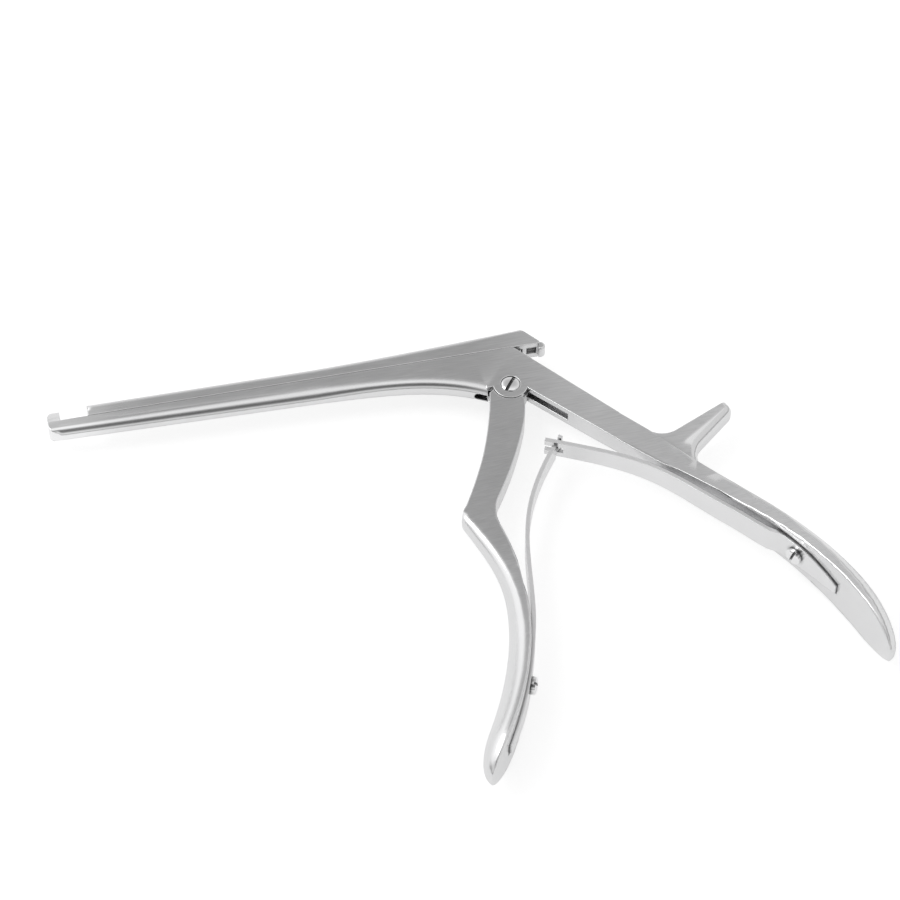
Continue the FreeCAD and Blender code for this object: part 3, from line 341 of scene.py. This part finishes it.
# painted highlight at the shaft's tip
shaftGlint = (((-1, 0, 0), 0.100, 0.116, 0.2),)
rearGripCentre = (0.0, -0.1027, 0.0)
shaftSteel = steel("shaftSteel", dict(
    steelFinish, tones=shaftTones, paler=shaftTip, glint=shaftGlint, flatTilt=(0.975, 0.9995),
    edgeRadius=0.0004,
    leans=(((0.3515, -0.936, 0), 0.0540, 0.0620, rearGripCentre, (0.0753, 0.0762), None, 0.22),
           ((0.5496, -0.8354, 0), 0.0440, 0.0458, rearGripCentre, (0.0825, 0.0866),
            (0.2, -0.97, 0.0), 0.36))))
sliderSteel = steel("sliderSteel", dict(
    steelFinish, tones=shaftTones, paler=shaftTip, glint=shaftGlint, flatTilt=(0.975, 0.9995),
    edgeRadius=0.0004,
    rounds=(((0, 1, 0), 0.0130, 0.0142, (0.1, 0.0, 0.0), (0.098, 0.112), 0.0022),)))
frontSteel = steel("frontHandleSteel", dict(
    steelFinish, grainAngle=4.0, grainLength=0.0035, edgeRadius=0.0005, flatToneAndShade=0.58,
    tones=(((0, -1, 0), 0.045, 0.08, 0.12),),
    rounds=(((0, -1, 0), 0.0378, 0.0392, (-0.0789, -0.0696, 0.0), (0.0676, 0.0659), 0.0028),)))
springSteel = steel("springSteel", dict(
    steelFinish, flatToneAndShade=0.92, roundTone=0.86, grainAngle=-60.0, grainTone=0.2,
    hollowShadeReach=0.0012, hollowShadeTone=0.35))
# screws: deep painted shade in their slots
screwSteel = steel("screwSteel", dict(
    steelFinish, flatToneAndShade=0.92, roundTone=0.92, grainTone=0.06, roundRough=0.13, flatRough=0.15,
    hollowShadeReach=0.0011, hollowShadeRange=(0.5, 0.97), hollowShadeTone=0.10, edgeRadius=0.0001))
print("steels mixed")


# the shaft below the seam, in metres: the solid is a half-round under crowned sides, and here it is
# drawn in to one even curve from the seam to the bottom, rounder towards the tip. The sides also get
# level normals, and so does the facet under the rear handle's lower edge, between "facetPlace".
# "found", "foundEven" and "atSeam" are how near a point has to be to count as on the shaft
shaftShape = {
    "reach": 0.1175,
    "taperEnd": 0.05,
    "fairingFront": 0.0063,
    "fairingDrop": 0.0068,
    "fairingCurve": 3.5,
    "seam": 0.012,
    "middle": 0.0029,
    "tipHalf": 0.0024,
    "bodyHalf": 0.0029,
    "tipDepth": 0.00445,
    "depthGain": 0.024,
    "curves": (83.0, 56.0, 0.6),
    "fullness": (2.0, 3.2, 9.0),
    "noseEnd": 0.0035,
    "found": 0.00004,
    "foundEven": 0.05,
    "atSeam": 0.000001,
    "likeness": 0.8,
    "levelTilt": 0.9998,
    "facetTilt": (0.4, 0.97),
    "facetPlace": (0.010, 0.0385),
    "facetTop": -0.005,
    "facetWay": (-0.03, 0.035, 0.999),
}


def shaftSection(spot, shape):
    ahead = -spot.x
    front = min((shape["reach"] - ahead) / (shape["reach"] - shape["taperEnd"]), 1)
    behind = max(shape["taperEnd"] - ahead, 0) / (shape["taperEnd"] - shape["fairingFront"])
    half = shape["tipHalf"] + (shape["bodyHalf"] - shape["tipHalf"]) * front
    bottom = shape["seam"] - shape["tipDepth"] - shape["depthGain"] * (shape["reach"] - ahead)
    bottom -= shape["fairingDrop"] * behind ** shape["fairingCurve"]
    tip, centre, end = shape["curves"]
    crown = 1 / (tip + (centre - tip) * front + (end - centre) * (1 - (1 - behind) ** 2))
    tip, centre, end = shape["fullness"]
    power = tip + (centre - tip) * front + (end - centre) * behind
    return half, bottom, crown, power


def outsideSolid(spot, shape):
    half, bottom, crown, power = shaftSection(spot, shape)
    up, across = spot.y - bottom - half, abs(spot.z - shape["middle"])
    if up < 0:
        return math.hypot(up, across) - half
    return math.hypot(up, across - half + crown) - crown


def evenHalf(spot, shape):
    half, bottom, crown, power = shaftSection(spot, shape)
    up = shape["seam"] - bottom - half
    atSeam = half - crown + math.sqrt(crown * crown - up * up)
    low = min(max((shape["seam"] - spot.y) / (shape["seam"] - bottom), 0), 1)
    return atSeam, low ** power


def outsideEven(spot, shape):
    atSeam, used = evenHalf(spot, shape)
    return ((spot.z - shape["middle"]) / atSeam) ** 2 + used - 1


def slopeOf(outside, spot, shape, step=0.00002):
    slopes = []
    for axis in (Vector((step, 0, 0)), Vector((0, step, 0)), Vector((0, 0, step))):
        slopes.append(outside(spot + axis, shape) - outside(spot - axis, shape))
    return Vector(slopes).normalized()


def onShaft(spot, shape, outside, found):
    beside = -shape["reach"] < spot.x < -shape["fairingFront"]
    if not beside or spot.y > shape["seam"] + shape["atSeam"] or abs(outside(spot, shape)) > found:
        return 0.0
    share = min((spot.x + shape["reach"]) / shape["noseEnd"], 1)
    return share * share * (3 - 2 * share)


def drawInShaft(shape, sizes):
    for vert in shape.verts:
        share = onShaft(vert.co, sizes, outsideSolid, sizes["found"])
        if share:
            atSeam, used = evenHalf(vert.co, sizes)
            across = vert.co.z - sizes["middle"]
            target = math.copysign(atSeam * math.sqrt(max(1 - used, 0)), across)
            vert.co.z = sizes["middle"] + across + (target - across) * share


def trueShaftNormals(mesh, sizes):
    normals = [corner.vector.copy() for corner in mesh.corner_normals]
    known = {}
    for vert in mesh.vertices:
        share = onShaft(vert.co, sizes, outsideEven, sizes["foundEven"])
        if share:
            solid = slopeOf(outsideSolid, vert.co, sizes)
            even = slopeOf(outsideEven, vert.co, sizes)
            known[vert.index] = solid.lerp(even, share).normalized()
    for face in mesh.polygons:
        upright = abs(face.normal.z)
        level = upright > sizes["levelTilt"]
        tilted = sizes["facetTilt"][0] < upright < sizes["facetTilt"][1]
        beside = sizes["facetPlace"][0] < face.center.x < sizes["facetPlace"][1]
        below = face.center.y < sizes["facetTop"] and face.normal.x < 0 and face.normal.y < 0
        facet = tilted and beside and below
        for corner in face.loop_indices:
            true = known.get(mesh.loops[corner].vertex_index)
            if true and true.dot(face.normal) > sizes["likeness"]:
                normals[corner] = true
            elif level:
                normals[corner] = Vector((0, 0, math.copysign(1, face.normal.z)))
            elif facet:
                across, up, out = sizes["facetWay"]
                normals[corner] = Vector((across, up, math.copysign(out, face.normal.z)))
    mesh.normals_split_custom_set(normals)
    print("shaft normals set:", len(known))


def cutAcross(shape, spot, way, gap=1e-7):
    parts = list(shape.verts) + list(shape.edges) + list(shape.faces)
    bmesh.ops.bisect_plane(shape, geom=parts, plane_co=spot, plane_no=way, dist=gap)


# the long seam's outer edge is broken by a small chamfer, above it (side 1) or below it (side -1)
def bevelSeam(shape, height, side, middle, reach, drop, inward, near):
    cutAcross(shape, (0, height + side * drop, 0), (0, 1, 0))
    for vert in shape.verts:
        across = vert.co.z - middle
        if abs(vert.co.y - height) < near and abs(across) > reach:
            vert.co.z -= math.copysign(inward, across)


# a smooth curve through the stops, each a place and an amount
def eased(place, stops):
    if not stops[0][0] < place < stops[-1][0]:
        return stops[0][1] if place <= stops[0][0] else stops[-1][1]
    index = max(number for number, stop in enumerate(stops) if stop[0] <= place)
    (start, low), (end, high) = stops[index], stops[index + 1]
    slopes = []
    for number in (index, index + 1):
        inside = 0 < number < len(stops) - 1
        before, after = stops[max(number - 1, 0)], stops[min(number + 1, len(stops) - 1)]
        slopes.append((after[1] - before[1]) / (after[0] - before[0]) * (end - start) if inside else 0)
    share = (place - start) / (end - start)
    rest = 1 - share
    return (low * (1 + 2 * share) * rest * rest + slopes[0] * share * rest * rest
            + high * (3 - 2 * share) * share * share - slopes[1] * rest * share * share)


# a copy of a solid's mesh, merged, cut across by planes at even steps where listed, pulled where it is
# listed, and smoothed up to its sharp edges
def smoothCopy(nodeName, pieceName, finish, cuts=None, seam=None):
    mesh = nodes[nodeName].data.copy()
    shape = bmesh.new()
    shape.from_mesh(mesh)
    bmesh.ops.remove_doubles(shape, verts=shape.verts, dist=finish["mergeGap"])
    bmesh.ops.dissolve_limit(shape, angle_limit=math.radians(finish["flatAngle"]), verts=shape.verts,
                             edges=shape.edges)
    if cuts:
        start, end, count = Vector(cuts["start"]), Vector(cuts["end"]), cuts["count"]
        for index in range(1, count):
            cutAcross(shape, start.lerp(end, index / count), (end - start).normalized())
    if seam:
        drawInShaft(shape, shaftShape)
        bevelSeam(shape, **seam)
    for along, shift, stops in cuts["pulls"] if cuts else ():
        for vert in shape.verts:
            vert.co += Vector(shift) * eased(vert.co.dot(Vector(along)), stops)
    shape.to_mesh(mesh)
    shape.free()
    mesh.materials.clear()
    for face in mesh.polygons:
        face.use_smooth = True
    mesh.set_sharp_from_angle(angle=math.radians(finish["sharpAngle"]))
    piece = bpy.data.objects.new(pieceName, mesh)
    scene.collection.objects.link(piece)
    weighted = piece.modifiers.new("flatFacesFirst", "WEIGHTED_NORMAL")
    weighted.keep_sharp = True
    weighted.weight = finish["flatWeight"]
    done = bpy.data.meshes.new_from_object(piece.evaluated_get(bpy.context.evaluated_depsgraph_get()))
    piece.modifiers.clear()
    piece.data = done
    done.name = pieceName
    return piece


smoothing = {"mergeGap": 1e-6, "flatAngle": 0.05, "sharpAngle": 28.0, "flatWeight": 100}
seamLine = {
    "height": 0.012,
    "middle": 0.0029,
    "reach": 0.00175,
    "drop": 0.00012,
    "inward": 0.00009,
    "near": 0.00001,
}
rigidPieces = {
    "fixed_shaft": ("shaftBody", "frame", shaftSteel, dict(seamLine, side=-1)),
    "sliding_shaft": ("shaftSlider", "slider", sliderSteel, dict(seamLine, side=1)),
    "front_handle": ("frontHandle", "handle", frontSteel, None),
}
for nodeName, (pieceName, bodyName, material, seam) in rigidPieces.items():
    piece = smoothCopy(nodeName, pieceName, smoothing, None, seam)
    piece.data.materials.append(material)
    if seam:
        trueShaftNormals(piece.data, shaftShape)
    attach(piece, bodyName)
    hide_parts(nodeName)
    print(pieceName, "made:", len(piece.data.polygons), "faces")


# slotted screws: one tree makes them all, from the sizes of each
screwTree = bpy.data.node_groups.new("slottedScrew", "GeometryNodeTree")
screw = NodeTree(screwTree)
screwInputs = {}
for label, kind in (("Head Radius", "Float"), ("Rim Height", "Float"), ("Dome Rise", "Float"),
                    ("Edge Drop", "Float"), ("Slot Width", "Float"), ("Slot Depth", "Float"),
                    ("Shank Radius", "Float"), ("Shank Length", "Float"), ("Seat", "Vector"),
                    ("Turn", "Vector"), ("Steel", "Material")):
    made = screwTree.interface.new_socket(name=label, in_out="INPUT", socket_type="NodeSocket" + kind)
    screwInputs[label] = made.identifier
screwTree.interface.new_socket(name="Screw", in_out="OUTPUT", socket_type="NodeSocketGeometry")

# how all of them are made: the worn edge starts at a share of the head's radius, the shank goes a little
# into the head, and the slot's block is longer than the head is wide
screwMake = {
    "headSides": 72,
    "headRings": 12,
    "edgeStart": 0.86,
    "shankSides": 48,
    "overlap": 0.0002,
    "slotReach": 2.4,
}


def given(label):
    return screw.node("NodeGroupInput", None, None, label)


def upwards(height):
    return screw.node("ShaderNodeCombineXYZ", None, {2: height})


headRadius, rimHeight = given("Head Radius"), given("Rim Height")
blank = screw.node("GeometryNodeMeshCylinder", {"fill_type": "TRIANGLE_FAN"}, {
    "Vertices": screwMake["headSides"], "Side Segments": 1, "Fill Segments": screwMake["headRings"],
    "Radius": headRadius, "Depth": rimHeight})
spot = screw.node("GeometryNodeInputPosition")
onTop = screw.node("ShaderNodeSeparateXYZ", None, {0: spot}, 2) > 0.0
outwards = screw.vector("LENGTH", screw.vector("MULTIPLY", spot, (1, 1, 0)), (0, 0, 0), 1) / headRadius
worn = given("Edge Drop") * screw.fade(outwards, screwMake["edgeStart"], 1.0)
crown = given("Dome Rise") * (1.0 - outwards * outwards) - worn
head = screw.node("GeometryNodeSetPosition", None, {
    "Geometry": blank, "Offset": upwards(rimHeight * 0.5 + onTop * crown)})
shankLength = given("Shank Length")
overlap = screwMake["overlap"]
shankBlank = screw.node("GeometryNodeMeshCylinder", {"fill_type": "NGON"}, {
    "Vertices": screwMake["shankSides"], "Radius": given("Shank Radius"), "Depth": shankLength + overlap})
shank = screw.node("GeometryNodeTransform", None, {
    "Geometry": shankBlank, "Translation": upwards((overlap - shankLength) * 0.5)})
bothParts = screw.node("GeometryNodeMeshBoolean", {"operation": "UNION", "solver": "EXACT"},
                       {"Mesh 2": head})
screw.links.new(shank.socket, bothParts.socket.node.inputs["Mesh 2"])  # the same socket takes both parts
slotLength = headRadius * screwMake["slotReach"]
slotBlock = screw.node("GeometryNodeMeshCube", None, {"Size": screw.node(
    "ShaderNodeCombineXYZ", None, {0: slotLength, 1: given("Slot Width"), 2: slotLength})})
slotCut = screw.node("GeometryNodeTransform", None, {
    "Geometry": slotBlock, "Translation": upwards(rimHeight - given("Slot Depth") + slotLength * 0.5)})
slotted = screw.node("GeometryNodeMeshBoolean", {"operation": "DIFFERENCE", "solver": "EXACT"},
                     {"Mesh 1": bothParts, "Mesh 2": slotCut})
seatPoint = screw.node("GeometryNodePoints", None, {"Count": 1, "Position": given("Seat")})
placed = screw.node("GeometryNodeInstanceOnPoints", None, {
    "Points": seatPoint, "Instance": slotted,
    "Rotation": screw.node("FunctionNodeEulerToRotation", None, {0: given("Turn")})})
realized = screw.node("GeometryNodeRealizeInstances", None, {0: placed})
painted = screw.node("GeometryNodeSetMaterial", None, {"Geometry": realized, "Material": given("Steel")})
screw.node("NodeGroupOutput", None, {0: painted})

springScrew = {
    "Head Radius": 0.0023,
    "Rim Height": 0.00125,
    "Dome Rise": 0.00035,
    "Edge Drop": 0.00015,
    "Slot Width": 0.0007,
    "Slot Depth": 0.0006,
    "Shank Radius": 0.0012,
    "Shank Length": 0.005,
    "Steel": screwSteel,
}
pivotScrew = {
    "Head Radius": 0.0025,
    "Rim Height": 0.0007,
    "Dome Rise": 0.00045,
    "Edge Drop": 0.0001,
    "Slot Width": 0.0009,
    "Slot Depth": 0.0007,
    "Shank Radius": 0.0017,
    "Shank Length": 0.0046,
    "Steel": screwSteel,
}
# name, body, sizes, seat, direction of the slot, direction of the head
screwPlaces = {
    "pivot_screw": ("pivotScrew", "frame", pivotScrew,
                    (0.0, 0.0, 0.00505), (0.61566, 0.78801, 0.0), (0.0, 0.0, 1.0)),
    "rear_spring_screw": ("rearSpringScrew", "frame", springScrew,
                          (0.0599337, -0.066136, 0.0029), (0.12042, -0.18662, 0.97502),
                          (-0.84026, -0.54218, 0.0)),
    "front_spring_screw": ("frontSpringScrew", "handle", springScrew,
                           (-0.0141296, -0.0914993, 0.0029), (0.11191, 0.31525, -0.94239),
                           (0.94239, -0.33453, 0.0)),
}
for nodeName, (pieceName, bodyName, sizes, seat, slotWay, headWay) in screwPlaces.items():
    piece = bpy.data.objects.new(pieceName, bpy.data.meshes.new(pieceName + "Blank"))
    scene.collection.objects.link(piece)
    axes = (Vector(slotWay), Vector(headWay).cross(Vector(slotWay)), Vector(headWay))
    turned = Matrix(axes).transposed().to_euler()
    modifier = piece.modifiers.new("slottedScrew", "NODES")
    modifier.node_group = screwTree
    for label, size in dict(sizes, Seat=seat, Turn=tuple(turned)).items():
        modifier[screwInputs[label]] = size
    done = bpy.data.meshes.new_from_object(piece.evaluated_get(bpy.context.evaluated_depsgraph_get()))
    piece.modifiers.clear()
    piece.data = done
    done.name = pieceName
    for face in done.polygons:
        face.use_smooth = True
    done.set_sharp_from_angle(angle=math.radians(smoothing["sharpAngle"]))
    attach(piece, bodyName)
    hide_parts(nodeName)
    print(pieceName, "made:", len(done.polygons), "faces")


# leaf springs: each is cut across at even steps along a line twice as long as itself, from its screw end
# towards its tip, where the two springs are hooked together.
# A pull moves the spring one way by amounts listed along another: the first shapes it along the rear
# grip, the second makes its end longer
springPulls = (
    ((0.7071, -0.7071, 0), (0.7071, 0.7071, 0), (
        (0.058, 0.0), (0.064, 0.0002), (0.0692, 0.00058), (0.0722, 0.00074), (0.0746, 0.00066),
        (0.0781, 0.0002), (0.0804, -0.0003), (0.083, -0.0002), (0.0853, 0.0))),
    ((0.48, -0.88, 0), (0.48, -0.88, 0), ((0.0960, 0.0), (0.0980, 0.0005))),
)
springBends = {
    "rear_leaf_spring": {
        "name": "rearLeafSpring", "fixed": "frame", "moving": "handle", "count": 64,
        "start": (0.0606, -0.0655, 0.0029), "end": (-0.0448, 0.0237, 0.0029), "pulls": springPulls},
    "front_leaf_spring": {
        "name": "frontLeafSpring", "fixed": "handle", "moving": "frame", "count": 64,
        "start": (-0.015, -0.091, 0.0029), "end": (0.0308, 0.0492, 0.0029), "pulls": ()},
}
for nodeName, bend in springBends.items():
    piece = smoothCopy(nodeName, bend["name"], smoothing, bend)
    piece.data.materials.append(springSteel)
    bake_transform(piece)
    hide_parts(nodeName)
    print(bend["name"], "made:", len(piece.data.polygons), "faces")
